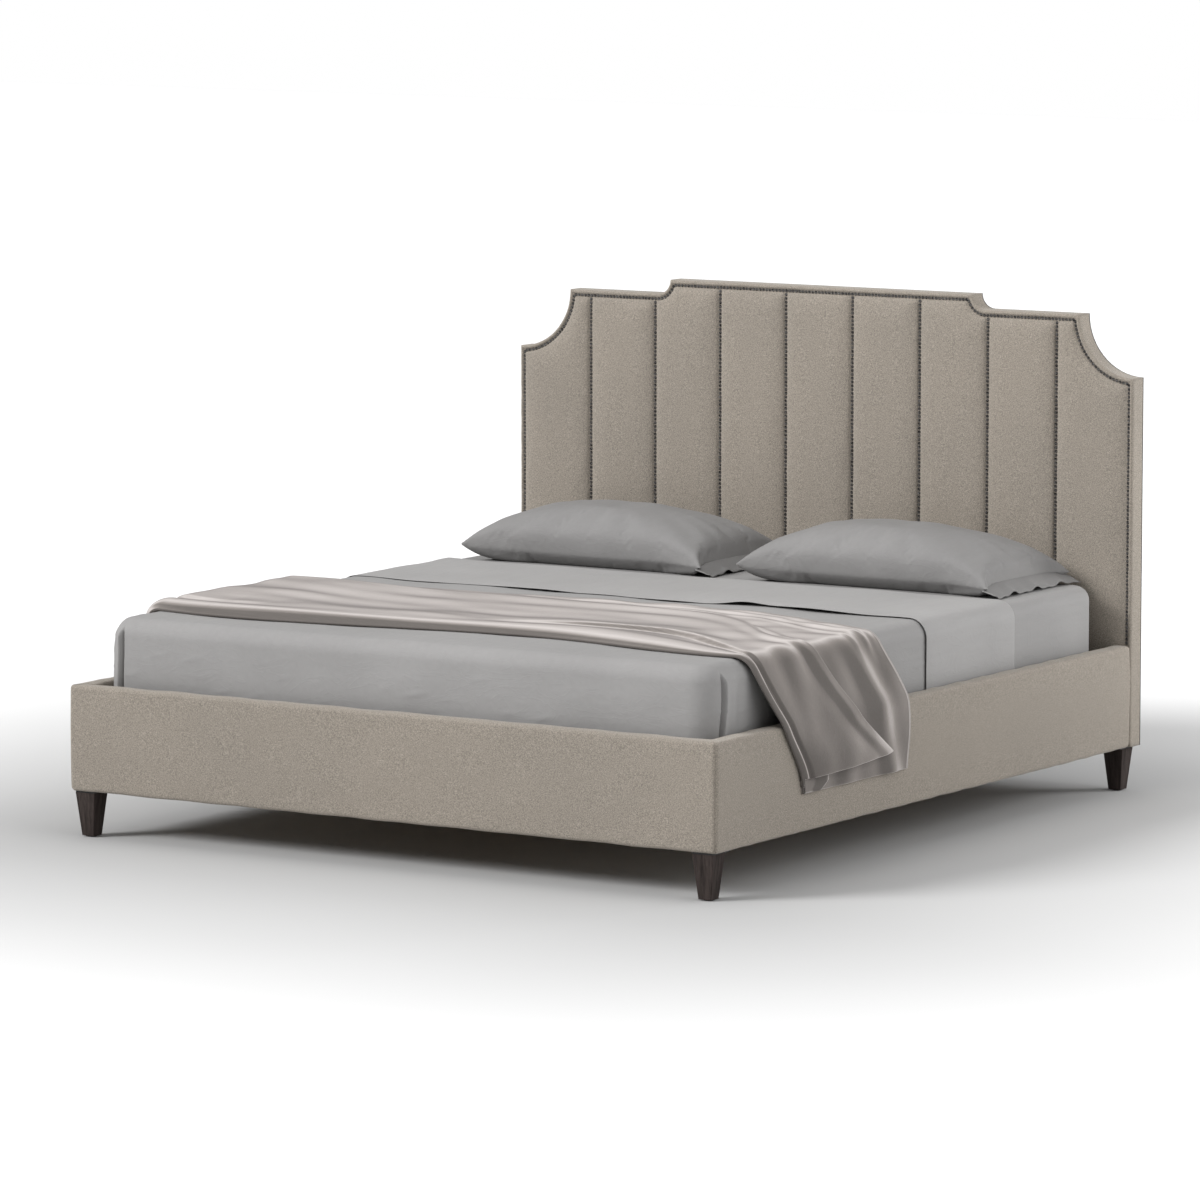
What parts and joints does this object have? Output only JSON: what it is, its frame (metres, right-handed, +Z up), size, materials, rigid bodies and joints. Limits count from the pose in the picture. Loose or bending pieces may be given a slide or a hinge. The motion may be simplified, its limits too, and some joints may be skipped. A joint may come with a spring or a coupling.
{
  "type": "upholstered headboard bed",
  "caption": "Upholstered panel bed with a scooped, channelled, nail-trimmed headboard, padded rails, tapered legs, slatted deck, mattress, sheets, pillows and throw.",
  "frame": {"origin": "on the floor, in the middle of the bed's footprint", "axes": "+Y from the footboard to the headboard, +X to the right seen from the foot, +Z up"},
  "size_m": [1.9666, 2.197, 1.318],
  "materials": {
    "bed_linen": "matte",
    "black_steel": "satin",
    "frame_timber": "matte",
    "glide_plastic": "matte",
    "leg_wood": "satin",
    "lining_cloth": "matte",
    "mattress_ticking": "matte",
    "nail_metal": "satin",
    "slat_wood": "satin",
    "throw_satin": "satin",
    "upholstery_fabric": "matte",
    "upholstery_foam": "matte",
    "webbing": "matte",
    "zinc_steel": "satin"
  },
  "bodies": {
    "frame": {"beam_hangers": "black_steel", "centre_beam": "frame_timber", "centre_leg_foot": "frame_timber", "centre_leg_head": "frame_timber", "channel_foam_1": "upholstery_foam", "channel_foam_2": "upholstery_foam", "channel_foam_3": "upholstery_foam", "channel_foam_4": "upholstery_foam", "channel_foam_5": "upholstery_foam", "channel_foam_6": "upholstery_foam", "channel_foam_7": "upholstery_foam", "channel_foam_8": "upholstery_foam", "channel_foam_9": "upholstery_foam", "corner_block_left": "frame_timber", "corner_block_right": "frame_timber", "flat_head_screws": "zinc_steel", "foot_leg_left": "leg_wood", "foot_leg_right": "leg_wood", "footboard_board": "frame_timber", "footboard_cover": "upholstery_fabric", "footboard_foam": "upholstery_foam", "frame_bolts": "zinc_steel", "frame_screws": "zinc_steel", "head_leg_left": "leg_wood", "head_leg_right": "leg_wood", "headboard_back_cloth": "lining_cloth", "headboard_bracket_left": "black_steel", "headboard_bracket_right": "black_steel", "headboard_cover": "upholstery_fabric", "headboard_lower_rail": "frame_timber", "headboard_panel": "frame_timber", "headboard_post_left": "frame_timber", "headboard_post_right": "frame_timber", "headboard_stile_left": "frame_timber", "headboard_stile_right": "frame_timber", "headboard_top_rail": "frame_timber", "insert_nuts": "zinc_steel", "leg_bolts": "zinc_steel", "leg_glides": "glide_plastic", "leg_plates": "black_steel", "nail_trim_border": "nail_metal", "nail_trim_columns": "nail_metal", "side_ledger_left": "frame_timber", "side_ledger_right": "frame_timber", "side_rail_board_left": "frame_timber", "side_rail_board_right": "frame_timber", "side_rail_cover_left": "upholstery_fabric", "side_rail_cover_right": "upholstery_fabric", "side_rail_foam_left": "upholstery_foam", "side_rail_foam_right": "upholstery_foam", "slat_straps": "webbing", "slats_left": "slat_wood", "slats_right": "slat_wood"},
    "mattress": {"mattress": "mattress_ticking", "fitted_sheet": "bed_linen", "coverlet": "bed_linen"},
    "pillow_left": {"pillow_left": "bed_linen"},
    "pillow_right": {"pillow_right": "bed_linen"},
    "throw": {"throw": "throw_satin"}
  },
  "joints": [
    {"name": "mattress_lift", "type": "slide", "parent": "frame", "child": "mattress", "axis": [0, 0, 1], "range_m": [0, 1.05]},
    {"name": "pillow_left_lift", "type": "slide", "parent": "mattress", "child": "pillow_left", "axis": [0, 0, 1], "range_m": [0, 0.8]},
    {"name": "pillow_right_lift", "type": "slide", "parent": "mattress", "child": "pillow_right", "axis": [0, 0, 1], "range_m": [0, 0.8]},
    {"name": "throw_lift", "type": "slide", "parent": "mattress", "child": "throw", "axis": [0, 0, 1], "range_m": [0, 1.1]}
  ]
}
